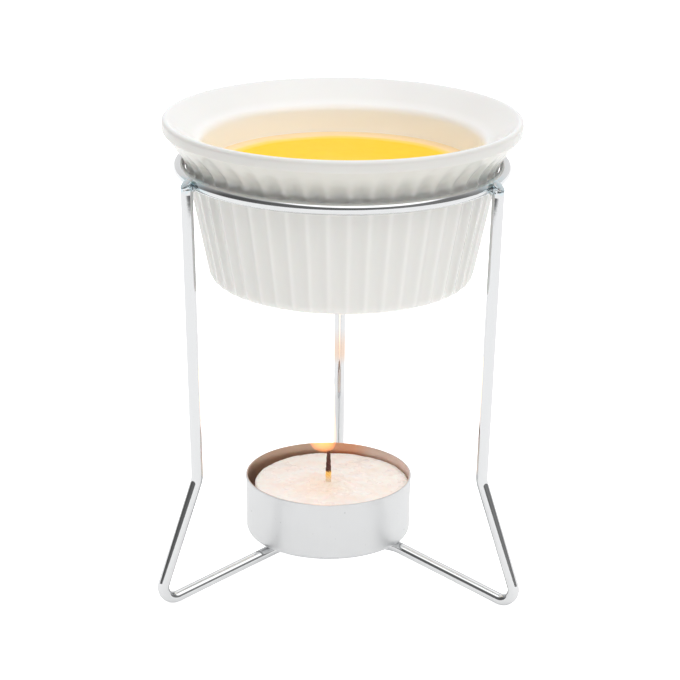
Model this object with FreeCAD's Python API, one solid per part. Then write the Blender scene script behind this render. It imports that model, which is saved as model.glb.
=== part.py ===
"""Butter warmer: a fluted porcelain dish of melted butter, held in a chromed wire stand over a tealight.

Millimetres, +Z up. The origin is where the dish's axis meets the table.
The front is -Y: one leg stands at the back and two stand at the front corners.
"""
import FreeCAD, Part
import math
import os

V = FreeCAD.Vector
UP = V(0, 0, 1)
ORIGIN = V(0, 0, 0)

# Wire stand
wire_dia = 2.7
ring_radius = 36.2          # centre line of the hoop
ring_height = 97.2          # centre line above the table
leg_names = ("leg_back", "leg_front_left", "leg_front_right")
first_leg_angle = 90.0      # the legs are evenly spaced from the back one
weld_sink = 0.3             # how deep a leg's side is saddled onto the hoop
weld_bead = 1.1             # round bead of weld in the corner under the hoop
leg_top_rise = 0.8          # middle of the sheared leg end above the hoop's centre line
leg_top_slant = 40.0        # fall of the sheared end away from the hoop, degrees
leg_lean = 1.5              # inward lean of the upright, degrees from vertical
knee_height = 29.2
knee_bend = 6.0             # bend radii are on the wire's centre line
splay_lean = 20.0           # outward lean of the stretch below the knee, degrees from vertical
foot_bend = 3.0
shelf_angle = 14.2          # climb of the inner wire towards the candle, degrees
shelf_height = 8.1          # centre line of the level wire under the candle
shelf_bend = 5.0

# Porcelain dish, from the hoop up to the rim
seat_gap = 0.05
body_draft = 11.3           # degrees from vertical
seat_below_flare = 2.7      # hoop's centre line below the corner where the flare starts
flare_rise = 5.9
flare_angle = 38.5          # outer side of the flare, degrees from vertical
flare_bend = 9.0
lip_height = 2.5            # plain band round the rim
lip_round = 0.9
lip_under_round = 0.8

# The rest of the dish
dish_height = 37.0
base_round = 3.0
wall = 4.6
floor_thickness = 4.0
inner_flare_angle = 35.0    # inner side of the flare, degrees from level
inner_bend = 3.0
inner_floor_bend = 6.0
foot_ring_width = 3.5
foot_recess = 0.8
foot_recess_round = 0.3

# Flutes round the outside of the dish
flute_count = 48
flute_radius = 5.4          # hollow of each flute across its width
flute_depth = 0.6
flute_lip_gap = 0.3         # top of each scallop below the plain band
cutter_stand_out = 1.2      # the cutter's flat back outside the wall

# Melted butter
butter_depth = 11.7         # rim top down to the butter's surface

# Tealight
rest_gap = 0.05             # cup on the wires, and wax and wick foot on what they stand on
candle_x = -2.5
cup_height = 13.7
cup_radius = 19.15          # wall just under the rolled rim
cup_taper = 0.1             # how much narrower the cup is at its base
cup_base_round = 1.2
cup_wall = 0.35
cup_bead = 0.6              # height of the rolled rim
cup_bead_out = 0.1
cup_bead_round = 0.1
wax_gap = 0.8               # the wax lies loose, against the right side of its cup
wax_below_rim = 2.0
wax_edge_round = 0.5
wick_dia = 1.4
wick_above_wax = 7.6
wick_char = 5.4             # the burnt length, which tapers
wick_tip_dia = 0.8
wick_tip_round = 0.25
wick_fit = 0.02
sustainer_radius = 6.0
sustainer_sheet = 0.3
sustainer_neck_wall = 0.5
sustainer_neck_height = 3.0

# Worked out from the sizes above
wire_radius = wire_dia / 2
lip_base_height = ring_height + seat_below_flare + flare_rise
rim_height = lip_base_height + lip_height
dish_bottom = rim_height - dish_height
butter_level = rim_height - butter_depth
cup_bottom = shelf_height + wire_radius + rest_gap
cup_floor = cup_bottom + cup_wall
cup_top = cup_bottom + cup_height
cup_base_radius = cup_radius - cup_taper
wax_bottom = cup_floor + rest_gap
wax_top = cup_top - wax_below_rim
wax_radius = cup_base_radius - cup_wall - wax_gap
sustainer_neck_radius = wick_dia / 2 + wick_fit + sustainer_neck_wall
third = 360.0 / len(leg_names)


def tan(degrees):
    return math.tan(math.radians(degrees))


def cos(degrees):
    return math.cos(math.radians(degrees))


def sin(degrees):
    return math.sin(math.radians(degrees))


def radial(radius, height):
    """A point of a section drawn in the XZ plane."""
    return V(radius, 0, height)


def crossing(p, p_angle, q, q_angle):
    """Where two lines of a section meet, with angles in degrees from level."""
    a, b = V(cos(p_angle), 0, sin(p_angle)), V(cos(q_angle), 0, sin(q_angle))
    gap = q - p
    along = (gap.x * b.z - gap.z * b.x) / (a.x * b.z - a.z * b.x)
    return p + a * along


def rounded_path(corners, closed=False):
    """Straight runs joined by tangent arcs. Each corner is a point and its bend radius."""
    count = len(corners)
    runs = []
    for i, (point, bend) in enumerate(corners):
        inside = closed or 0 < i < count - 1
        if not inside or bend == 0:
            runs.append((point, point, point))
            continue
        to_last = (corners[i - 1][0] - point).normalize()
        to_next = (corners[(i + 1) % count][0] - point).normalize()
        half = to_last.getAngle(to_next) / 2
        reach = bend / math.tan(half)
        middle = (to_last + to_next).normalize() * (bend / math.sin(half) - bend)
        runs.append((point + to_last * reach, point + middle, point + to_next * reach))
    edges = []
    for i, (start, middle, end) in enumerate(runs):
        if not start.isEqual(end, 1e-6):
            edges.append(Part.Arc(start, middle, end).toShape())
        if closed or i < count - 1:
            target = runs[(i + 1) % count][0]
            if not end.isEqual(target, 1e-6):
                edges.append(Part.LineSegment(end, target).toShape())
    return Part.Wire(edges)


def turned(corners, sweep=360.0, start=0.0):
    """A solid of revolution about the Z axis from a closed rounded section."""
    face = Part.Face(rounded_path(corners, closed=True))
    face.rotate(ORIGIN, UP, start)
    return face.revolve(ORIGIN, UP, sweep)


def swept(path, section):
    """A bar of one section along a path."""
    return path.makePipeShell([section], True, False)


# The dish's outer wall is a straight taper that clears the hoop's inner side by the seat gap.
body_line = 90.0 - body_draft
flare_line = 90.0 - flare_angle
seat_radius = ring_radius - (wire_radius + seat_gap) / cos(body_draft)
seat_point = radial(seat_radius, ring_height)
flare_corner = crossing(seat_point, body_line, radial(0, ring_height + seat_below_flare), 0.0)
lip_under = crossing(flare_corner, flare_line, radial(0, lip_base_height), 0.0)
base_corner = crossing(seat_point, body_line, radial(0, dish_bottom), 0.0)

# The inner wall runs parallel to the outer one. The rounded lip's sharp corner lies above its top.
lip_rise = lip_round * ((1 + sin(inner_flare_angle)) / cos(inner_flare_angle) - 1)
lip_top = radial(lip_under.x, rim_height + lip_rise)
inner_seat = seat_point - V(wall / cos(body_draft), 0, 0)
inner_corner = crossing(inner_seat, body_line, lip_top, inner_flare_angle)
floor_corner = crossing(inner_seat, body_line, radial(0, dish_bottom + floor_thickness), 0.0)
butter_edge = crossing(inner_seat, body_line, radial(0, butter_level), 0.0)


def dish_section():
    foot_inner = base_corner.x - base_round - foot_ring_width
    recess_top = dish_bottom + foot_recess
    return [
        (radial(0, recess_top), 0),
        (radial(foot_inner, recess_top), foot_recess_round),
        (radial(foot_inner, dish_bottom), foot_recess_round),
        (base_corner, base_round),
        (flare_corner, flare_bend),
        (lip_under, lip_under_round),
        (lip_top, lip_round),
        (inner_corner, inner_bend),
        (floor_corner, inner_floor_bend),
        (radial(0, floor_corner.z), 0),
    ]


def flute_section(start, outward):
    """The cutter's section: an arc below the wall's surface, closed by a flat back outside it."""
    centre_out = flute_radius - flute_depth
    side = V(0, math.sqrt(flute_radius**2 - (centre_out - cutter_stand_out) ** 2), 0)
    back = start + outward * cutter_stand_out
    arc = Part.Arc(back - side, start - outward * flute_depth, back + side).toShape()
    return Part.Wire([arc, Part.LineSegment(back + side, back - side).toShape()])


def flute_cutter():
    """A round-ended cutter that follows the outside up the body, round the bend and up the flare."""
    body_out = V(sin(body_line), 0, -cos(body_line))
    flare_out = V(sin(flare_line), 0, -cos(flare_line))
    flare_up = V(cos(flare_line), 0, sin(flare_line))
    centre_out = flute_radius - flute_depth
    scallop = math.sqrt(flute_radius**2 - centre_out**2)
    below = crossing(seat_point, body_line, radial(0, dish_bottom - cutter_stand_out), 0.0)
    top = lip_under - flare_up * (scallop + flute_lip_gap)
    path = rounded_path([(below, 0), (flare_corner, flare_bend), (top, 0)])
    return swept(path, flute_section(below, body_out)).fuse(
        Part.makeSphere(flute_radius, top + flare_out * centre_out))


def dish():
    """One flute is cut in one slice of the dish, and the slices are joined all round."""
    pitch = 360.0 / flute_count
    slice_solid = turned(dish_section(), pitch, -pitch / 2).cut(flute_cutter())
    slices = []
    for i in range(flute_count):
        copy = slice_solid.copy()
        copy.rotate(ORIGIN, UP, i * pitch)
        slices.append(copy)
    return slices[0].fuse(slices[1:]).removeSplitter()


def melted_butter():
    return turned([
        (radial(0, floor_corner.z), 0),
        (floor_corner, inner_floor_bend),
        (butter_edge, 0),
        (radial(0, butter_level), 0),
    ])


def top_ring():
    return Part.makeTorus(ring_radius, wire_radius, V(0, 0, ring_height))


def foot_corner(knee):
    """The foot's sharp corner, placed so that the rounded wire just stands on the table."""
    splay_line = 90.0 - splay_lean
    half_corner = (splay_line - shelf_angle) / 2
    bisector = (splay_line + shelf_angle) / 2
    height = wire_radius + foot_bend - foot_bend * sin(bisector) / sin(half_corner)
    return crossing(knee, 180.0 - splay_line, radial(0, height), 0.0)


def leg(azimuth):
    """A bent wire: upright, knee, splay, foot, then in and up to the level wire under the candle."""
    top_radius = ring_radius + wire_dia - weld_sink
    uncut_rise = leg_top_rise + wire_dia
    top = radial(top_radius + uncut_rise * tan(leg_lean), ring_height + uncut_rise)
    knee = radial(top_radius - (ring_height - knee_height) * tan(leg_lean), knee_height)
    foot = foot_corner(knee)
    shelf = crossing(foot, 180.0 - shelf_angle, radial(0, shelf_height), 0.0)
    past_centre = radial(-wire_dia, shelf_height)
    bends = [(knee, knee_bend), (foot, foot_bend), (shelf, shelf_bend)]
    path = rounded_path([(top, 0)] + bends + [(past_centre, 0)])
    section = Part.Wire(Part.makeCircle(wire_radius, top, knee - top))
    # Each leg keeps to its own third, so the inner ends are mitred and meet face to face.
    sector = Part.makeCylinder(foot.x + foot_bend, rim_height, ORIGIN, UP, third)
    sector.rotate(ORIGIN, UP, -third / 2)
    wire = swept(path, section).common(sector).cut(shear(top_radius))
    wire = wire.fuse(bead_of_weld(top_radius)).cut(top_ring()).removeSplitter()
    wire.rotate(ORIGIN, UP, azimuth)
    return wire


def shear(top_radius):
    """What the shears take off the top of an upright: all above a plane that falls away from the hoop."""
    size = 4 * wire_dia
    waste = Part.makeBox(size, size, size, V(-size / 2, -size / 2, 0))
    waste.rotate(ORIGIN, V(0, 1, 0), leg_top_slant)
    waste.translate(radial(top_radius, ring_height + leg_top_rise))
    return waste


def bead_of_weld(top_radius):
    """Weld metal in the corner between the upright and the hoop's underside."""
    between = (ring_radius + top_radius) / 2
    return Part.makeSphere(weld_bead, radial(between, ring_height - wire_radius / 2))


def tealight_cup():
    """A thin drawn cup with a rolled rim."""
    bead_bottom = cup_top - cup_bead
    bead_radius = cup_radius + cup_bead_out
    cup = turned([
        (radial(0, cup_bottom), 0),
        (radial(cup_base_radius, cup_bottom), cup_base_round),
        (radial(cup_radius, bead_bottom), 0),
        (radial(bead_radius, bead_bottom), cup_bead_round),
        (radial(bead_radius, cup_top), cup_bead_round),
        (radial(cup_radius - cup_wall, cup_top), cup_bead_round),
        (radial(cup_base_radius - cup_wall, cup_floor), cup_base_round - cup_wall),
        (radial(0, cup_floor), 0),
    ])
    cup.translate(V(candle_x, 0, 0))
    return cup


def sustainer_solid(clearance):
    """The wick's metal foot, or with a clearance the room for it in the wax."""
    foot_top = wax_bottom + sustainer_sheet + clearance
    neck_top = wax_bottom + sustainer_neck_height + clearance
    return turned([
        (radial(0, wax_bottom), 0),
        (radial(sustainer_radius + clearance, wax_bottom), 0),
        (radial(sustainer_radius + clearance, foot_top), 0),
        (radial(sustainer_neck_radius + clearance, foot_top), 0),
        (radial(sustainer_neck_radius + clearance, neck_top), 0),
        (radial(0, neck_top), 0),
    ])


def wick_hole():
    """The hole for the wick in the wax and in the foot's neck."""
    bottom = wax_bottom + sustainer_sheet
    return Part.makeCylinder(wick_dia / 2 + wick_fit, cup_height, V(0, 0, bottom))


def tealight_wax():
    wax = turned([
        (radial(0, wax_bottom), 0),
        (radial(wax_radius, wax_bottom), cup_base_round),
        (radial(wax_radius, wax_top), wax_edge_round),
        (radial(0, wax_top), 0),
    ])
    wax.translate(V(wax_gap, 0, 0))
    wax = wax.cut(sustainer_solid(wick_fit)).cut(wick_hole())
    wax.translate(V(candle_x, 0, 0))
    return wax


def tealight_wick():
    """A braid that tapers where it has burnt."""
    tip = wax_top + wick_above_wax
    wick = turned([
        (radial(0, wax_bottom + sustainer_sheet), 0),
        (radial(wick_dia / 2, wax_bottom + sustainer_sheet), 0),
        (radial(wick_dia / 2, tip - wick_char), 0),
        (radial(wick_tip_dia / 2, tip), wick_tip_round),
        (radial(0, tip), 0),
    ])
    wick.translate(V(candle_x, 0, 0))
    return wick


def wick_sustainer():
    foot = sustainer_solid(0.0).cut(wick_hole())
    foot.translate(V(candle_x, 0, 0))
    return foot


def save(name, shape):
    solids = shape.Solids
    if len(solids) != 1 or not solids[0].isValid():
        raise ValueError(name + " is not one sound solid")
    solids[0].exportStep(os.path.join("parts", name + ".step"))
    print(name, round(solids[0].Volume, 1), "mm3")


os.makedirs("parts", exist_ok=True)
save("dish", dish())
save("melted_butter", melted_butter())
save("top_ring", top_ring())
for position, leg_name in enumerate(leg_names):
    save(leg_name, leg(first_leg_angle + position * third))
save("tealight_cup", tealight_cup())
save("tealight_wax", tealight_wax())
save("tealight_wick", tealight_wick())
save("wick_sustainer", wick_sustainer())
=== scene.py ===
"""Butter warmer: a fluted porcelain dish of melted butter on a chromed wire stand, over a lit tealight.

Metres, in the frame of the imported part: +Z up, the back leg towards +Y, and the front towards -Y.
"""
import math

import bmesh
import bpy
from mathutils import Matrix, Vector, noise


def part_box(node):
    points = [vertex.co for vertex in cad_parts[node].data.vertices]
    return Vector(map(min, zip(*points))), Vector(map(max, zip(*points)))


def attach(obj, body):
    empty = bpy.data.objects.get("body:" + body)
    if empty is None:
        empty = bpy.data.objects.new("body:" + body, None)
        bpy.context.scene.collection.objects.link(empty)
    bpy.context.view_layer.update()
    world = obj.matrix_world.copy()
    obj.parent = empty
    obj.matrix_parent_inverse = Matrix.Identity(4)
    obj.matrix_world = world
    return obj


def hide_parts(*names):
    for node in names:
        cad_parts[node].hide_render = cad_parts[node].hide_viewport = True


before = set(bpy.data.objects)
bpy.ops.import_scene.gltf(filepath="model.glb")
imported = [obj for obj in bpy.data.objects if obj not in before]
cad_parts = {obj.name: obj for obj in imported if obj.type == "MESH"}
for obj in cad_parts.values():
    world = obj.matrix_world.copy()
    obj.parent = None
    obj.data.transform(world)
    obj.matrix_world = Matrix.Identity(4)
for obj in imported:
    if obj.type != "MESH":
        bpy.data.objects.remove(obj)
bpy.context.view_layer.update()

MM = 0.001
ORIGIN = Vector((0, 0, 0))
UP = Vector((0, 0, 1))
TOUCHING = 0.001 * MM          # closer vertices are the same one

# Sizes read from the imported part
dish_low, dish_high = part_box("dish")
ring_low, ring_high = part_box("top_ring")
butter_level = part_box("melted_butter")[1].z
cup_low, cup_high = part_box("tealight_cup")
wax_low, wax_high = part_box("tealight_wax")
wick_low, wick_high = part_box("tealight_wick")
wire_radius = (ring_high.z - ring_low.z) / 2
ring_height = (ring_high.z + ring_low.z) / 2
ring_radius = ring_high.x - wire_radius
cup_centre = (cup_low + cup_high) / 2
wax_centre = (wax_low + wax_high) / 2
wick_centre = (wick_low + wick_high) / 2
cup_radius = cup_high.x - cup_centre.x
wax_radius = (wax_high.x - wax_low.x) / 2
wick_radius = (wick_high.x - wick_low.x) / 2
wax_level = wax_high.z

# The dish's shape, as in the part's source
seat_gap = 0.05 * MM
body_draft = math.radians(11.3)
seat_below_flare = 2.7 * MM
flare_angle = math.radians(38.5)
flare_bend = 9.0 * MM
lip_height = 2.5 * MM
lip_round = 0.9 * MM
lip_under_round = 0.8 * MM
base_round = 3.0 * MM
wall = 4.6 * MM
floor_thickness = 4.0 * MM
inner_flare_angle = math.radians(35.0)
inner_bend = 3.0 * MM
inner_floor_bend = 6.0 * MM
foot_ring_width = 3.5 * MM
foot_recess = 0.8 * MM
foot_recess_round = 0.3 * MM
flute_count = 48
flute_radius = 5.4 * MM
flute_depth = 0.6 * MM
flute_lip_gap = 0.3 * MM
flute_turn = -3 / 16           # of the way from one flute to the next
ridge_softness = 0.3           # share of half a flute that the glaze rounds over
flare_softness = 0.6           # the same at the lip
softening_rate = 3             # it is reached a third of the way up the flare
flare_fade = 0.8               # how much shallower the flutes are at the lip
fading_rate = 1.5              # it is reached two thirds of the way up the flare
run_out_softness = 0.05 * MM
base_run = 0.35                # lower where the flutes follow the rounded base further down
columns_per_flute = 16
flute_pitch = 2 * math.pi / flute_count

# The stand's legs, as in the part's source
leg_angles = {"leg_back": 90, "leg_front_left": 210, "leg_front_right": 330}
weld_sink = 0.3 * MM
weld_bead = 1.1 * MM
upright_radius = ring_radius + 2 * wire_radius - weld_sink
leg_top_rise = 0.8 * MM
leg_top_slant = math.radians(40.0)
leg_lean = math.radians(1.5)
knee_height = 29.2 * MM
knee_bend = 6.0 * MM
splay_lean = math.radians(20.0)
foot_bend = 3.0 * MM
shelf_angle = math.radians(14.2)
shelf_height = 8.1 * MM
shelf_bend = 5.0 * MM
wire_sides = 40

# The flame
flame_low = wick_high.z - 0.3 * MM
flame_high = wick_high.z + 20 * MM
flame_width = 7.2 * MM
flame_lean = -1.6 * MM         # to the left

# The studio, where a level of 1 is white
room_level = 0.12
paper_level = 0.8
wall_level = 0.12
front_level = 0.06
ceiling_level = 0.8
softbox_level = 1.75
softbox_towards = Vector((0.16, -0.32, 0.934))
softbox_core = math.radians(33)
softbox_edge = math.radians(42)
floor_level = 0.36
floor_radius = 3.0
table_reach = 0.75

# The camera, fitted to the photograph's outlines
camera_place = Vector((-2.5 * MM, -485.9 * MM, 224.4 * MM))
camera_pitch = math.radians(19.12)
camera_yaw = math.radians(0.28)
camera_roll = math.radians(0.59)
photo_width = 680
focal_pixels = 2254
sensor_width = 36


def along(angle):
    """A direction in the XZ plane, with the angle measured up from level."""
    return Vector((math.cos(angle), 0, math.sin(angle)))


def crossing(p, p_angle, q, q_angle):
    """Where two lines of a section meet."""
    a, b = along(p_angle), along(q_angle)
    gap = q - p
    return p + a * ((gap.x * b.z - gap.z * b.x) / (a.x * b.z - a.z * b.x))


def radial(radius, height):
    return Vector((radius, 0, height))


def about_z(angle):
    return Matrix.Rotation(angle, 3, "Z")


def rounded(corners, arc_steps=8):
    """Points of a section whose corners are rounded. Each corner is a point and its bend radius."""
    points = [corners[0][0]]
    for (before, _), (point, bend), (after, _) in zip(corners, corners[1:], corners[2:]):
        if bend == 0:
            points.append(point)
            continue
        to_last, to_next = (before - point).normalized(), (after - point).normalized()
        half = to_last.angle(to_next) / 2
        centre = point + (to_last + to_next).normalized() * (bend / math.sin(half))
        start = (point + to_last * (bend / math.tan(half)) - centre).normalized()
        end = (point + to_next * (bend / math.tan(half)) - centre).normalized()
        points += [centre + start.slerp(end, step / arc_steps) * bend for step in range(arc_steps + 1)]
    points.append(corners[-1][0])
    return points


def finer(points, spacing):
    """The same line with more points: spacing gives the longest step wanted at a point."""
    fine = [points[0]]
    for start, end in zip(points, points[1:]):
        steps = max(1, math.ceil((end - start).length / spacing((start + end) / 2)))
        fine += [start.lerp(end, step / steps) for step in range(1, steps + 1)]
    return fine


def spun(points, columns, slices=16):
    """A closed mesh of revolution about the Z axis, from a section drawn in the XZ plane.

    One slice is spun, and then copied round, because a whole turn in one go is slow.
    """
    turn = 2 * math.pi / slices
    mesh = bmesh.new()
    line = [mesh.verts.new(point) for point in points]
    edges = [mesh.edges.new(pair) for pair in zip(line, line[1:])]
    bmesh.ops.spin(
        mesh, geom=line + edges, cent=ORIGIN, axis=UP, dvec=ORIGIN,
        angle=turn, steps=columns // slices, use_duplicate=False)
    first = mesh.verts[:] + mesh.edges[:] + mesh.faces[:]
    for index in range(1, slices):
        copied = bmesh.ops.duplicate(mesh, geom=first)["geom"]
        verts = [item for item in copied if isinstance(item, bmesh.types.BMVert)]
        bmesh.ops.rotate(mesh, verts=verts, cent=ORIGIN, matrix=about_z(index * turn))
    bmesh.ops.remove_doubles(mesh, verts=mesh.verts[:], dist=TOUCHING)
    bmesh.ops.recalc_face_normals(mesh, faces=mesh.faces[:])
    return mesh


def placed(name, mesh, material):
    """Makes a mesh into an object of the scene."""
    data = bpy.data.meshes.new(name)
    mesh.to_mesh(data)
    mesh.free()
    data.materials.append(material)
    made = bpy.data.objects.new(name, data)
    bpy.context.scene.collection.objects.link(made)
    return made


def piece(name, mesh, material, node=None):
    """A visible piece with its finish, smooth shaded and attached to the root; the part's own node, if one
    is given, is hidden.
    """
    made = placed(name, mesh, material)
    made.data.shade_smooth()
    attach(made, "root")
    if node:
        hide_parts(node)
    return made


# Lines of the dish's section, from the hoop outwards
body_line = math.pi / 2 - body_draft
flare_line = math.pi / 2 - flare_angle
seat_radius = ring_radius - (wire_radius + seat_gap) / math.cos(body_draft)
seat_point = radial(seat_radius, ring_height)
flare_corner = crossing(seat_point, body_line, radial(0, ring_height + seat_below_flare), 0.0)
lip_under = crossing(flare_corner, flare_line, radial(0, dish_high.z - lip_height), 0.0)
base_corner = crossing(seat_point, body_line, radial(0, dish_low.z), 0.0)
lip_under.x = min(lip_under.x, dish_high.x, -dish_low.y)   # inside the solid's box
lip_rise = lip_round * ((1 + math.sin(inner_flare_angle)) / math.cos(inner_flare_angle) - 1)
lip_top = radial(lip_under.x, dish_high.z + lip_rise)
inner_seat = seat_point - radial(wall / math.cos(body_draft), 0)
inner_corner = crossing(inner_seat, body_line, lip_top, inner_flare_angle)
floor_corner = crossing(inner_seat, body_line, radial(0, dish_low.z + floor_thickness), 0.0)
butter_radius = crossing(inner_seat, body_line, radial(0, butter_level), 0.0).x


class Value:
    """An output socket, so that shader maths is written as a Python expression."""

    def __init__(self, finish, socket):
        self.finish = finish
        self.socket = socket

    def maths(self, operation, first, second=0.0):
        return self.finish.node("ShaderNodeMath", {"operation": operation}, {0: first, 1: second})

    def __add__(self, other):
        return self.maths("ADD", self, other)

    def __sub__(self, other):
        return self.maths("SUBTRACT", self, other)

    def __rsub__(self, other):
        return self.maths("SUBTRACT", other, self)

    def __mul__(self, other):
        return self.maths("MULTIPLY", self, other)

    def __truediv__(self, other):
        return self.maths("DIVIDE", self, other)

    def __pow__(self, other):
        return self.maths("POWER", self, other)

    __radd__ = __add__
    __rmul__ = __mul__

    def at_least(self, other):
        return self.maths("MAXIMUM", self, other)

    def at_most(self, other):
        return self.maths("MINIMUM", self, other)

    def cosine(self):
        return self.maths("COSINE", self)


class Finish:
    """A material, or the world, built node by node."""

    def __init__(self, name, tree=None):
        if tree is None:
            self.material = bpy.data.materials.new(name)
            self.material.use_nodes = True
            tree = self.material.node_tree
        self.tree = tree
        self.tree.nodes.clear()

    def node(self, kind, settings, inputs, output=0):
        made = self.tree.nodes.new(kind)
        for name, setting in settings.items():
            setattr(made, name, setting)
        for name, value in inputs.items():
            if isinstance(value, Value):
                self.tree.links.new(value.socket, made.inputs[name])
            else:
                made.inputs[name].default_value = value
        return Value(self, made.outputs[output])

    def position(self):
        return self.node("ShaderNodeTexCoord", {}, {}, "Object")

    def part(self, vector, axis):
        return self.node("ShaderNodeSeparateXYZ", {}, {0: vector}, axis)

    def noise(self, vector, scale, detail=3.0, roughness=0.5):
        inputs = {"Vector": vector, "Scale": scale, "Detail": detail, "Roughness": roughness}
        return self.node("ShaderNodeTexNoise", {}, inputs, "Fac")

    def between(self, value, low, high):
        """0 at low, 1 at high, and smooth from one to the other."""
        inputs = {"Value": value, "From Min": low, "From Max": high}
        return self.node("ShaderNodeMapRange", {"interpolation_type": "SMOOTHSTEP"}, inputs)

    def until(self, value, low, high):
        """1 at low, 0 at high, and smooth from one to the other."""
        return 1.0 - self.between(value, low, high)

    def mix(self, share, first, second):
        return self.node("ShaderNodeMix", {"data_type": "RGBA"}, {0: share, 6: first, 7: second}, 2)

    def away_from_axis(self, vector, centre=ORIGIN):
        """Distance from an upright axis."""
        x = self.part(vector, "X") - centre.x
        y = self.part(vector, "Y") - centre.y
        return (x * x + y * y) ** 0.5

    def turn(self, vector):
        """Angle round the Z axis, from +X."""
        inputs = {0: self.part(vector, "Y"), 1: self.part(vector, "X")}
        return self.node("ShaderNodeMath", {"operation": "ARCTAN2"}, inputs)

    def measure(self, operation, first, second):
        """A number from two vectors."""
        return self.node("ShaderNodeVectorMath", {"operation": operation}, {0: first, 1: second}, "Value")

    def bump(self, height, distance, strength=1.0):
        inputs = {"Height": height, "Distance": distance, "Strength": strength}
        return self.node("ShaderNodeBump", {}, inputs)

    def surface(self, shader):
        out = self.tree.nodes.new("ShaderNodeOutputMaterial")
        self.tree.links.new(shader.socket, out.inputs["Surface"])
        return self.material

    def principled(self, **sockets):
        inputs = {name.replace("_", " "): value for name, value in sockets.items()}
        return self.node("ShaderNodeBsdfPrincipled", {}, inputs)


def colour(red, green, blue):
    """A colour given as it looks on screen, from 0 to 255, as the linear value that a shader takes."""
    def linear(level):
        share = level / 255
        return share / 12.92 if share <= 0.04045 else ((share + 0.055) / 1.055) ** 2.4
    return (linear(red), linear(green), linear(blue), 1.0)


def porcelain():
    """Clear glaze over white clay. Inside, a film of butter stains the wall, and painted light and a
    painted glow warm it.
    """
    finish = Finish("porcelain")
    place = finish.position()
    height = finish.part(place, "Z")
    radius = finish.away_from_axis(place)
    patches = finish.noise(place, scale=45.0, detail=2.0)
    glaze = finish.mix(patches, colour(235, 234, 229), colour(240, 239, 235))

    # Outside: ridges painted whiter, partly for thinner glaze and partly as a painted highlight where they
    # catch the light, and a flare painted greyer up to the plain band, as painted shade under the lip and
    # over the hoop
    wave = ((finish.turn(place) - flute_turn * flute_pitch) * flute_count).cosine()
    ridge = ((1.0 - wave) * 0.5) ** 6.0
    past_body = radius - seat_point.x - (height - ring_height) * math.tan(body_draft)
    outside = finish.between(past_body, -1 * MM, 0.0)
    below_lip = finish.until(height, lip_under.z - 2.2 * MM, lip_under.z - 1 * MM)
    glaze = finish.mix(ridge * outside * below_lip, glaze, colour(246, 245, 241))
    # Painted shade: the flare greyer from just above the body up to the band, for the shade from the hoop
    # and under the lip
    below_band = finish.until(height, lip_under.z - 0.4 * MM, lip_under.z + 0.3 * MM)
    above_body = finish.between(height, flare_corner.z - 1 * MM, flare_corner.z + 1 * MM)
    glaze = finish.mix(outside * below_band * above_body * 0.8, glaze, colour(221, 219, 210))

    # Inside: a flare painted whiter, as painted light where it faces up, and a wall stained by the butter
    # film and painted warmer for the butter's light on it
    past_flare = radius - inner_corner.x - (height - inner_corner.z) / math.tan(inner_flare_angle)
    in_flare = finish.until(past_flare, 0.4 * MM, 1.4 * MM)
    glaze = finish.mix(in_flare, glaze, colour(246, 247, 247))
    past_wall = radius - inner_seat.x - (height - ring_height) * math.tan(body_draft)
    inside = finish.until(past_wall, 0.3 * MM, 2.4 * MM)
    film = inside * finish.between(height, dish_low.z + 2 * MM, dish_low.z + 3 * MM)
    rise = finish.between(height, butter_level, inner_corner.z + 0.5 * MM)
    butter_stain_and_light = finish.mix(rise, colour(247, 243, 238), colour(245, 245, 245))
    base = finish.mix(film, glaze, butter_stain_and_light)
    # Painted glow: an emission on the inner wall, standing in for light through the porcelain
    painted_glow = finish.mix(rise, (0.096, 0.098, 0.092, 1.0), (0.066, 0.076, 0.088, 1.0))
    painted_glow = finish.mix(film, (0.0, 0.0, 0.0, 1.0), painted_glow)

    waviness = finish.noise(place, scale=120.0, detail=2.0)
    pinholes = finish.between(finish.noise(place, scale=900.0, detail=2.0), 0.72, 0.8)
    shader = finish.principled(
        Base_Color=base, Roughness=0.12 + patches * 0.06, IOR=1.5,
        Emission_Color=painted_glow, Emission_Strength=1.0,
        Subsurface_Weight=0.06, Subsurface_Scale=0.0015,
        Normal=finish.bump(waviness + pinholes * -0.1, distance=0.05 * MM, strength=0.5))
    return finish.surface(shader)


def liquid_butter():
    """Clear yellow, and paler towards its thin edge, with a painted glow."""
    finish = Finish("melted butter")
    place = finish.position()
    radius = finish.away_from_axis(place) + finish.noise(place, scale=90.0, detail=2.0) * 1.6 * MM
    foam = finish.noise(place, scale=420.0)
    deep = finish.mix(foam, colour(255, 200, 0), colour(255, 208, 14))
    at_edge = finish.between(radius, butter_radius - 1.6 * MM, butter_radius + 0.4 * MM)
    pale = finish.mix(at_edge, colour(252, 215, 108), colour(247, 224, 184))
    thin = finish.between(radius, butter_radius - 3.4 * MM, butter_radius - 1.2 * MM)
    base = finish.mix(thin, deep, pale)
    # Painted glow: an emission that brightens the butter, which gives no light of its own
    glow = finish.mix(foam, colour(84, 52, 0), colour(92, 64, 6))
    shader = finish.principled(
        Base_Color=base, Roughness=0.05, IOR=1.46, Specular_IOR_Level=0.06,
        Emission_Color=glow, Emission_Strength=1.0)
    return finish.surface(shader)


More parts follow.
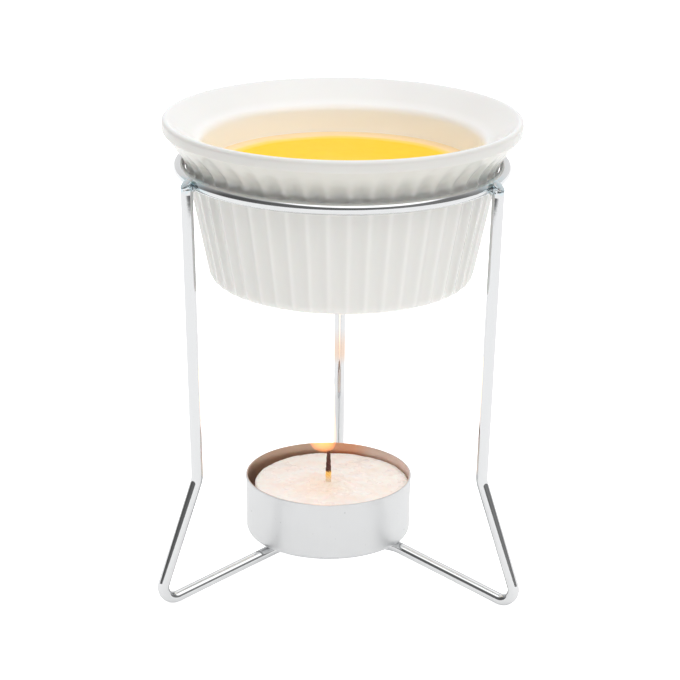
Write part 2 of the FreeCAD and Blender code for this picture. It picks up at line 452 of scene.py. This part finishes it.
def chrome():
    """Bright plating, uneven and slightly blue where the legs are welded to the hoop, with a painted
    reflection of the flame on the back leg.
    """
    finish = Finish("chrome wire")
    place = finish.position()
    height = finish.part(place, "Z")

    # Blued lumps on the welds, and blued streaks along the hoop beside them
    weld = 0.0
    streaked = 0.0
    for azimuth in leg_angles.values():
        centre = about_z(math.radians(azimuth)) @ radial(ring_radius + wire_radius, ring_height)
        reach = finish.measure("DISTANCE", place, centre)
        weld = finish.until(reach, 1.2 * MM, 5.0 * MM) + weld
        streaked = finish.until(reach, 3.0 * MM, 9.0 * MM) + streaked
    above = finish.between(height, ring_height - 1.8 * MM, ring_height - 0.6 * MM)
    weld = weld.at_most(1.0) * above
    streaked = streaked.at_most(1.0) * above
    stretched = finish.turn(place) * (0.12 * ring_radius)
    along_hoop = finish.node(
        "ShaderNodeCombineXYZ", {}, {0: stretched, 1: finish.away_from_axis(place), 2: height})
    streaks = finish.noise(along_hoop, scale=1100.0, detail=2.0)
    haze = finish.noise(place, scale=700.0)
    lumps = finish.noise(place, scale=650.0, detail=3.0, roughness=0.6)
    blued = weld * finish.between(lumps, 0.45, 0.6)
    blued = blued.at_least(streaked * finish.between(streaks, 0.48, 0.56))
    tint = finish.mix(blued, colour(213, 214, 215), colour(200, 213, 218))

    # Painted reflection: the flame's orange reflection, painted on the front of the back leg
    backwards = finish.part(place, "Y")
    past_axis = backwards - upright_radius + (ring_height - height) * math.tan(leg_lean)
    in_front = finish.until(past_axis, -0.3 * MM, 0.3 * MM)
    on_leg = finish.between(backwards, 0.8 * ring_radius, 0.9 * ring_radius)
    beside_flame = finish.between(height, 36.5 * MM, 40 * MM) * finish.until(height, 41 * MM, 47 * MM)
    tint = finish.mix(beside_flame * (in_front * on_leg) * 0.6, tint, colour(226, 190, 160))

    uneven = lumps * weld + streaks * streaked * 2.2 + haze * 0.03
    shader = finish.principled(
        Base_Color=tint, Metallic=1.0, Roughness=0.04 + haze * 0.04 + weld * 0.08,
        Normal=finish.bump(uneven, distance=0.2 * MM, strength=0.5))
    return finish.surface(shader)


def cup_aluminium():
    """Thin drawn sheet, with faint upright draw lines and small specks, and painted brown inside for the
    flame's warm light and the shade by the wax.
    """
    finish = Finish("tealight aluminium")
    place = finish.position()
    height = finish.part(place, "Z")
    stretched = finish.node("ShaderNodeMapping", {}, {"Vector": place, "Scale": (1.0, 1.0, 0.06)})
    lines = finish.noise(stretched, scale=2600.0, detail=2.0)
    clouds = finish.noise(place, scale=260.0)
    specks = finish.between(finish.noise(place, scale=1300.0, detail=1.0), 0.76, 0.8)
    base = finish.mix(specks, colour(212, 213, 214), colour(160, 161, 162))

    # Painted light and shade inside, down to just under the wax's edge: brown for the warm light of the
    # flame and the wax, darker to the left where the gap by the wax is in shade
    reach = finish.away_from_axis(place, cup_centre)
    inside = finish.until(reach, cup_radius - 0.32 * MM, cup_radius - 0.2 * MM)
    upper = finish.between(height, wax_level - 6 * MM, wax_level - 5 * MM)
    rightwards = finish.between(finish.part(place, "X"), -0.6 * cup_radius, 0.9 * cup_radius)
    painted_warm_light_and_shade = finish.mix(rightwards, colour(204, 178, 160), colour(231, 210, 200))
    base = finish.mix(inside * upper, base, painted_warm_light_and_shade)

    # Painted light: the flame's orange light, painted on the rim behind it
    behind_flame = Vector((wick_centre.x + 4 * MM, cup_high.y, cup_high.z))
    painted_flame_light = finish.until(finish.measure("DISTANCE", place, behind_flame), 2 * MM, 8 * MM)
    at_rim = finish.between(height, cup_high.z - 0.5 * MM, cup_high.z - 0.2 * MM)
    painted_flame_light = painted_flame_light * inside.at_least(at_rim)
    base = finish.mix(painted_flame_light * 0.7, base, colour(232, 164, 122))

    shader = finish.principled(
        Base_Color=base, Metallic=1.0, Roughness=0.26 + clouds * 0.1 + lines * 0.08,
        Normal=finish.bump(lines * 0.5 + clouds, distance=0.05 * MM, strength=0.5))
    return finish.surface(shader)


def paraffin():
    """Half melted wax: frosted, with wet streaks, and whiter and crumbly at its edge."""
    finish = Finish("paraffin wax")
    place = finish.position()
    radius = finish.away_from_axis(place, wax_centre)
    clouds = finish.noise(place, scale=240.0, detail=4.0, roughness=0.6)
    crumbs = finish.noise(place, scale=1300.0, detail=3.0, roughness=0.6)
    # Painted light: the flame's peach glow, painted on the wax in front of the wick
    warmest = wick_centre + Vector((-2.5 * MM, -4 * MM, 0))
    warm = finish.until(finish.away_from_axis(place, warmest), 1.0 * MM, 10.0 * MM)
    base = finish.mix(finish.between(clouds, 0.3, 0.7), colour(250, 237, 229), colour(255, 251, 247))
    base = finish.mix(warm * 0.45, base, colour(255, 226, 200))
    edge = finish.between(radius + crumbs * 1.2 * MM, wax_radius - 1.0 * MM, wax_radius + 0.2 * MM)
    base = finish.mix(edge, base, colour(252, 250, 246))
    wet = finish.between(finish.noise(place, scale=170.0, detail=3.0, roughness=0.6), 0.48, 0.56)
    uneven = clouds + crumbs * 0.2 + edge * crumbs
    # The emission is a faint painted glow, for the flame's light in the wax
    shader = finish.principled(
        Base_Color=base, Roughness=0.5 - wet * 0.28, IOR=1.44,
        Subsurface_Weight=0.15, Subsurface_Scale=0.002,
        Emission_Color=colour(255, 234, 220), Emission_Strength=0.05,
        Normal=finish.bump(uneven, distance=0.5 * MM, strength=0.38))
    return finish.surface(shader)


def charred_cotton():
    """Braided cotton: waxy at its foot, with the flame's orange light painted on it just above the wax,
    and burnt brown above.
    """
    finish = Finish("wick")
    place = finish.position()
    height = finish.part(place, "Z")
    strands = finish.node(
        "ShaderNodeTexWave", {"wave_type": "BANDS", "bands_direction": "DIAGONAL"},
        {"Vector": place, "Scale": 900.0, "Distortion": 2.0}, "Fac")
    burnt = finish.between(height + strands * 0.3 * MM, wax_level + 2.3 * MM, wax_level + 3.0 * MM)
    char = finish.mix(strands, colour(84, 48, 44), colour(120, 76, 64))
    # Painted light: orange just above the wax where the flame lights the wick, with a matching emission;
    # paler and waxy at the foot
    waxy = finish.until(height, wax_level, wax_level + 2.0 * MM)
    base = finish.mix(burnt, finish.mix(waxy, colour(255, 214, 130), colour(252, 236, 214)), char)
    glow = finish.mix(burnt, finish.mix(waxy, colour(255, 176, 60), colour(150, 126, 90)), colour(0, 0, 0))
    shader = finish.principled(
        Base_Color=base, Roughness=0.75, Emission_Color=glow, Emission_Strength=0.35,
        Normal=finish.bump(strands, distance=0.1 * MM))
    return finish.surface(shader)


def tinned_steel():
    finish = Finish("wick foot steel")
    grain = finish.noise(finish.position(), scale=1200.0)
    shader = finish.principled(
        Base_Color=colour(190, 190, 188), Metallic=1.0, Roughness=0.3 + grain * 0.1,
        Normal=finish.bump(grain, distance=0.02 * MM))
    return finish.surface(shader)


def flame():
    """Adds its glow to what is behind it, so it shows against the cup and fades out against white."""
    finish = Finish("flame")
    height = finish.part(finish.position(), "Z")
    rise = finish.between(height, flame_low, flame_high)
    hue = finish.mix(rise, colour(255, 150, 70), colour(255, 214, 110))
    facing = finish.node("ShaderNodeLayerWeight", {}, {"Blend": 0.35}, "Facing")
    strength = (1.0 - facing) ** 2.0 * (0.8 + rise * 3.0)
    glow = finish.node("ShaderNodeEmission", {}, {"Color": hue, "Strength": strength})
    clear = finish.node("ShaderNodeBsdfTransparent", {}, {})
    return finish.surface(finish.node("ShaderNodeAddShader", {}, {0: glow, 1: clear}))


def cut_flutes(mesh):
    """Hollows the flutes: each vertex of the outer wall sinks to the surface of a round-ended cutter."""
    skin = 2.2 * MM
    lowest = dish_low.z + 0.1 * MM
    highest = lip_under.z + 1.0 * MM
    body_out = along(body_line - math.pi / 2)
    body_up = along(body_line)
    flare_out = along(flare_line - math.pi / 2)
    flare_up = along(flare_line)
    flare_length = (lip_under - flare_corner).length
    half_bend = (body_line - flare_line) / 2
    bend_reach = flare_bend * math.tan(half_bend)
    bend_centre = flare_corner + (body_out + flare_out).normalized() * (flare_bend / math.cos(half_bend))
    centre_out = flute_radius - flute_depth
    scallop = math.sqrt(flute_radius**2 - centre_out**2)
    top = lip_under - flare_up * (scallop + flute_lip_gap)
    for vert in mesh.verts:
        radius, height = math.hypot(vert.co.x, vert.co.y), vert.co.z
        angle = math.atan2(vert.co.y, vert.co.x)
        section = radial(radius, height)
        outside_body = (section - seat_point).dot(body_out)
        if outside_body < -skin or not lowest <= height <= highest:
            continue
        past_corner = (section - flare_corner).dot(flare_up)
        if past_corner > bend_reach:
            outward = flare_out
        elif (section - flare_corner).dot(body_up) > -bend_reach:
            outward = (bend_centre - section).normalized()
        else:
            outward = body_out
        sunk = min(0.0, outside_body)
        if height < dish_low.z + base_round:
            sunk *= base_run
        past_top = max(0.0, (section - top).dot(flare_up))
        turn = (angle / flute_pitch - flute_turn + 0.5) % 1.0 - 0.5
        share = 1 - 2 * abs(turn)
        climb = min(1.0, max(0.0, past_corner / flare_length))
        softness = ridge_softness + (flare_softness - ridge_softness) * min(1.0, softening_rate * climb)
        rounded_share = (math.hypot(share, softness) - softness) / (math.hypot(1, softness) - softness)
        side = radius * flute_pitch / 2 * (1 - rounded_share)
        reach = flute_radius**2 - side**2 - past_top**2
        if reach <= 0:
            continue
        cut = math.sqrt(reach) - centre_out + sunk - side**2 / (2 * radius) * outward.x
        cut = run_out_softness * math.log1p(math.exp(cut / run_out_softness))
        cut *= 1 - flare_fade * min(1.0, fading_rate * climb)
        spoke = Vector((math.cos(angle), math.sin(angle), 0))
        vert.co -= (spoke * outward.x + UP * outward.z) * cut


def dish():
    """The section spun once round, with closer points on the outside, and then the flutes."""
    skin = 1.5 * MM
    flare_step = 0.32 * MM
    outer_step = 1.2 * MM
    inner_step = 4.0 * MM
    foot_inner = base_corner.x - base_round - foot_ring_width
    recess_top = dish_low.z + foot_recess
    section = rounded([
        (radial(0, recess_top), 0),
        (radial(foot_inner, recess_top), foot_recess_round),
        (radial(foot_inner, dish_low.z), foot_recess_round),
        (base_corner, base_round),
        (flare_corner, flare_bend),
        (lip_under, lip_under_round),
        (lip_top, lip_round),
        (inner_corner, inner_bend),
        (floor_corner, inner_floor_bend),
        (radial(0, floor_corner.z), 0),
    ], arc_steps=7)

    def spacing(point):
        outside = (point - seat_point).dot(along(body_line - math.pi / 2)) > -skin
        if outside and flare_corner.z < point.z < lip_under.z:
            return flare_step
        return outer_step if outside else inner_step

    mesh = spun(finer(section, spacing), flute_count * columns_per_flute, flute_count)
    cut_flutes(mesh)
    piece("fluted_dish", mesh, porcelain(), "dish")


def butter():
    """The pool, whose surface climbs a little to meet the wall."""
    clear = 0.01 * MM
    climb = 0.7 * MM
    reach = 2.0 * MM
    hollowness = 2.6
    lip = 0.03 * MM
    lip_drop = 0.02 * MM
    edge = crossing(inner_seat, body_line, radial(0, butter_level + climb), 0.0) - radial(clear, 0)
    points = rounded([
        (radial(0, floor_corner.z + clear), 0),
        (floor_corner + radial(-clear, clear), inner_floor_bend),
        (edge - radial(0, lip), 0),
    ])
    points.append(edge)
    points.append(edge - radial(lip, lip_drop))
    steps = 10
    for step in range(1, steps + 1):
        share = step / steps
        points.append(radial(edge.x - reach * share, butter_level + climb * (1 - share) ** hollowness))
    points.append(radial(edge.x / 2, butter_level))
    points.append(radial(0, butter_level))
    piece("butter_pool", spun(points, columns=384), liquid_butter(), "melted_butter")


def hoop(plating):
    around = [step * 2 * math.pi / wire_sides for step in range(wire_sides + 1)]
    section = [radial(ring_radius, ring_height) + along(angle) * wire_radius for angle in around]
    piece("hoop_wire", spun(section, columns=320), plating, "top_ring")


def leg_line():
    """The wire's centre line in the XZ plane, from above the sheared end down to under the candle."""
    uncut_rise = leg_top_rise + 2 * wire_radius
    top = radial(upright_radius + uncut_rise * math.tan(leg_lean), ring_height + uncut_rise)
    knee = radial(upright_radius - (ring_height - knee_height) * math.tan(leg_lean), knee_height)
    splay_line = math.pi / 2 - splay_lean
    corner_height = wire_radius + foot_bend - foot_bend * (
        math.sin((splay_line + shelf_angle) / 2) / math.sin((splay_line - shelf_angle) / 2))
    foot = crossing(knee, math.pi - splay_line, radial(0, corner_height), 0.0)
    shelf = crossing(foot, math.pi - shelf_angle, radial(0, shelf_height), 0.0)
    return rounded([
        (top, 0),
        (knee, knee_bend),
        (foot, foot_bend),
        (shelf, shelf_bend),
        (radial(-2 * wire_radius, shelf_height), 0),
    ], arc_steps=16)


def tube(points):
    """A wire along a line in the XZ plane, open at both ends."""
    mesh = bmesh.new()
    ring = None
    for index, point in enumerate(points):
        before = points[max(index - 1, 0)]
        after = points[min(index + 1, len(points) - 1)]
        tangent = (after - before).normalized()
        turn = Matrix.Rotation(math.atan2(tangent.x, tangent.z), 4, "Y")
        made = bmesh.ops.create_circle(
            mesh, cap_ends=False, segments=wire_sides, radius=wire_radius,
            matrix=Matrix.Translation(point) @ turn)
        edges = list(dict.fromkeys(edge for vert in made["verts"] for edge in vert.link_edges))
        if ring:
            bmesh.ops.bridge_loops(mesh, edges=ring + edges)
        ring = edges
    return mesh


def cut_off(mesh, place, normal):
    """Takes away what lies beyond a plane, and closes the cut."""
    cut = bmesh.ops.bisect_plane(
        mesh, geom=mesh.verts[:] + mesh.edges[:] + mesh.faces[:], plane_co=place,
        plane_no=normal, clear_outer=True)
    edges = [item for item in cut["geom_cut"] if isinstance(item, bmesh.types.BMEdge)]
    return bmesh.ops.holes_fill(mesh, edges=edges)["faces"]


def weld_drop(mesh, place):
    """A lumpy bead of weld metal in the corner between an upright and the hoop."""
    lumpiness = 0.25
    lump_scale = 900
    hollowness = 0.4
    made = bmesh.ops.create_icosphere(
        mesh, subdivisions=4, radius=weld_bead, matrix=Matrix.Translation(place))
    for vert in made["verts"]:
        lump = noise.noise(vert.co * lump_scale) - hollowness
        vert.co += (vert.co - place).normalized() * weld_bead * lumpiness * lump


def leg(node, azimuth, plating):
    """One bent wire: sheared off aslant above its weld, and mitred where the three legs meet."""
    shear_bevel = 0.14 * MM
    mitre = math.pi / 3
    mesh = tube(leg_line())
    end = radial(upright_radius, ring_height + leg_top_rise)
    faces = cut_off(mesh, end, Vector((math.sin(leg_top_slant), 0, math.cos(leg_top_slant))))
    rim = [edge for face in faces for edge in face.edges]
    bmesh.ops.bevel(
        mesh, geom=rim, offset=shear_bevel, offset_type="OFFSET", segments=3, profile=0.5,
        affect="EDGES", material=-1)
    for side in (1, -1):
        cut_off(mesh, ORIGIN, Vector((-math.sin(mitre), side * math.cos(mitre), 0)))
    bmesh.ops.dissolve_degenerate(mesh, dist=TOUCHING, edges=mesh.edges[:])
    weld_drop(mesh, radial((ring_radius + upright_radius) / 2, ring_height - wire_radius / 2))
    bmesh.ops.recalc_face_normals(mesh, faces=mesh.faces[:])
    bmesh.ops.rotate(mesh, verts=mesh.verts[:], cent=ORIGIN, matrix=about_z(math.radians(azimuth)))
    piece(node + "_wire", mesh, plating, node)


def shifted(mesh, centre):
    """Moves a mesh that was spun about the Z axis out to its own axis."""
    bmesh.ops.translate(mesh, verts=mesh.verts[:], vec=(centre.x, centre.y, 0))
    return mesh


def cup():
    """Thin sheet with a rolled bead at the rim, and faintly dented."""
    bead_out = 0.1 * MM
    bead_height = 0.6 * MM
    bead_round = 0.1 * MM
    thick = 0.35 * MM
    taper = 0.1 * MM
    dent_depth = 0.1 * MM
    dent_scale = 160
    dent_pattern = Vector((3, 7, 1))
    top = cup_high.z
    side = cup_radius - bead_out
    profile = rounded([
        (radial(0, cup_low.z), 0),
        (radial(side - taper, cup_low.z), 1.2 * MM),
        (radial(side, top - 2.2 * bead_height), 0.8 * MM),
        (radial(cup_radius, top - 0.7 * bead_height), 0.3 * MM),
        (radial(cup_radius, top), bead_round),
        (radial(side - thick, top), bead_round),
        (radial(side - taper - thick, cup_low.z + thick), 0.85 * MM),
        (radial(0, cup_low.z + thick), 0),
    ], arc_steps=6)
    mesh = spun(finer(profile, lambda point: 0.9 * MM), columns=256)
    for vert in mesh.verts:
        radius = math.hypot(vert.co.x, vert.co.y)
        if radius > side - 1.0 * MM:
            dent = dent_depth * max(0.0, noise.noise(vert.co * dent_scale + dent_pattern))
            vert.co.x -= vert.co.x / radius * dent
            vert.co.y -= vert.co.y / radius * dent
    piece("cup", shifted(mesh, cup_centre), cup_aluminium(), "tealight_cup")


def wax():
    """A disc whose top is pitted by melting."""
    top_layer = 0.6 * MM
    pit_depth = 0.17 * MM
    pit_scale = 300
    evenness = 0.6
    finer_by = 2.0
    layers = 5
    profile = finer(rounded([
        (radial(0, wax_low.z), 0),
        (radial(wax_radius, wax_low.z), 1.2 * MM),
        (radial(wax_radius, wax_level), 0.5 * MM),
        (radial(0, wax_level), 0),
    ], arc_steps=6), lambda point: 0.4 * MM)
    mesh = spun(profile, columns=192)
    for vert in mesh.verts:
        if vert.co.z > wax_level - top_layer:
            pitting = 0.5 + noise.fractal(vert.co * pit_scale, evenness, finer_by, layers)
            vert.co.z -= pit_depth * max(0.0, pitting)
    piece("wax", shifted(mesh, wax_centre), paraffin(), "tealight_wax")


def wick():
    """Three strands braided above the wax, and burnt thin at the top."""
    char = 5.4 * MM
    tip_radius = 0.4 * MM
    strands = 3
    strand_depth = 0.07
    twist = 4.5                # radians to a millimetre
    profile = finer(rounded([
        (radial(0, wick_low.z), 0),
        (radial(wick_radius, wick_low.z), 0),
        (radial(wick_radius, wick_high.z - char), 1.5 * MM),
        (radial(tip_radius, wick_high.z), 0.25 * MM),
        (radial(0, wick_high.z), 0),
    ], arc_steps=6), lambda point: 0.15 * MM)
    mesh = spun(profile, columns=32)
    for vert in mesh.verts:
        if vert.co.z > wax_level:
            turn = math.atan2(vert.co.y, vert.co.x)
            braid = 1 - strand_depth * (1 + math.sin(strands * turn + vert.co.z / MM * twist))
            vert.co.x *= braid
            vert.co.y *= braid
    piece("wick_braid", shifted(mesh, wick_centre), charred_cotton(), "tealight_wick")


def wick_foot():
    """The metal foot is hidden in the wax, so the frame's own mesh stays and only takes a finish."""
    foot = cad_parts["wick_sustainer"]
    foot.data.materials.clear()
    foot.data.materials.append(tinned_steel())


def candle_flame():
    """A teardrop of burning gas, drawn a little to the left by the draught."""
    taper = 0.25
    lean_from = 0.22
    points = []
    steps = 28
    for step in range(steps + 1):
        share = step / steps
        swell = math.sin(math.pi * share ** 0.5) ** 0.8 * (1 - taper * share)
        points.append(radial(flame_width / 2 * swell, flame_low + (flame_high - flame_low) * share))
    mesh = spun(points, columns=48)
    for vert in mesh.verts:
        share = (vert.co.z - flame_low) / (flame_high - flame_low)
        vert.co.x += flame_lean * math.sin(math.pi * min(1.0, share + lean_from))
    burning = piece("candle_flame", shifted(mesh, wick_centre), flame())
    burning.visible_shadow = False


def floor():
    """White paper on a table, which keeps a faint shadow of the stand.

    Past the table's front and sides the reflections show the dark room.
    """
    finish = Finish("floor")
    seen = finish.node("ShaderNodeLightPath", {}, {}, "Is Camera Ray")
    place = finish.position()
    reach = finish.away_from_axis(place)
    backwards = finish.between(finish.part(place, "Y") / reach.at_least(MM), 0.1, 0.8)
    dark = finish.between(reach, table_reach, 1.3 * table_reach) * (1.0 - backwards)
    base = finish.mix(dark, colour(238, 238, 238), colour(110, 110, 110))
    paper = finish.principled(Base_Color=base, Roughness=0.9, Specular_IOR_Level=0.0)
    strength = (1.0 - dark) * floor_level + seen * (0.6 + dark)
    lift = finish.node("ShaderNodeEmission", {}, {"Color": (1, 1, 1, 1), "Strength": strength})
    material = finish.surface(finish.node("ShaderNodeAddShader", {}, {0: paper, 1: lift}))
    mesh = bmesh.new()
    bmesh.ops.create_circle(mesh, cap_ends=True, segments=96, radius=floor_radius)
    placed("floor", mesh, material)


def studio():
    """White paper behind, a broad soft light overhead, and the dark room behind the camera."""
    world = bpy.data.worlds.new("studio")
    bpy.context.scene.world = world
    world.use_nodes = True
    sky = Finish("studio", world.node_tree)
    direction = sky.node("ShaderNodeTexCoord", {}, {}, "Generated")
    forward = sky.part(direction, "Y")
    upward = sky.part(direction, "Z")
    level = sky.between(forward, -0.1, 0.9) * paper_level + room_level
    level = level + sky.between(forward, -0.2, -0.9) * front_level
    level = level + sky.between(sky.part(direction, "X"), 0.2, 0.9) * wall_level
    level = level + sky.between(upward, 0.6, 0.9) * ceiling_level
    facing = sky.measure("DOT_PRODUCT", direction, softbox_towards)
    softbox = sky.between(facing, math.cos(softbox_edge), math.cos(softbox_core))
    level = level + softbox * (softbox_level - level)
    seen = sky.node("ShaderNodeLightPath", {}, {}, "Is Camera Ray")
    strength = level + seen * (1.0 - level)
    background = sky.node("ShaderNodeBackground", {}, {"Color": (1, 1, 1, 1), "Strength": strength})
    out = sky.tree.nodes.new("ShaderNodeOutputWorld")
    sky.tree.links.new(background.socket, out.inputs["Surface"])


def camera():
    lens = bpy.data.cameras.new("camera")
    lens.sensor_width = sensor_width
    lens.lens = focal_pixels / photo_width * sensor_width
    lens.clip_start = 0.01
    holder = bpy.data.objects.new("camera", lens)
    holder.matrix_world = (
        Matrix.Translation(camera_place)
        @ Matrix.Rotation(-camera_yaw, 4, "Z")
        @ Matrix.Rotation(math.pi / 2 - camera_pitch, 4, "X")
        @ Matrix.Rotation(camera_roll, 4, "Z"))
    bpy.context.scene.collection.objects.link(holder)
    bpy.context.scene.camera = holder


chrome_finish = chrome()
dish()
butter()
hoop(chrome_finish)
for leg_node, leg_azimuth in leg_angles.items():
    leg(leg_node, leg_azimuth, chrome_finish)
cup()
wax()
wick()
wick_foot()
candle_flame()
floor()
studio()
camera()
bpy.context.scene.view_settings.view_transform = "Standard"
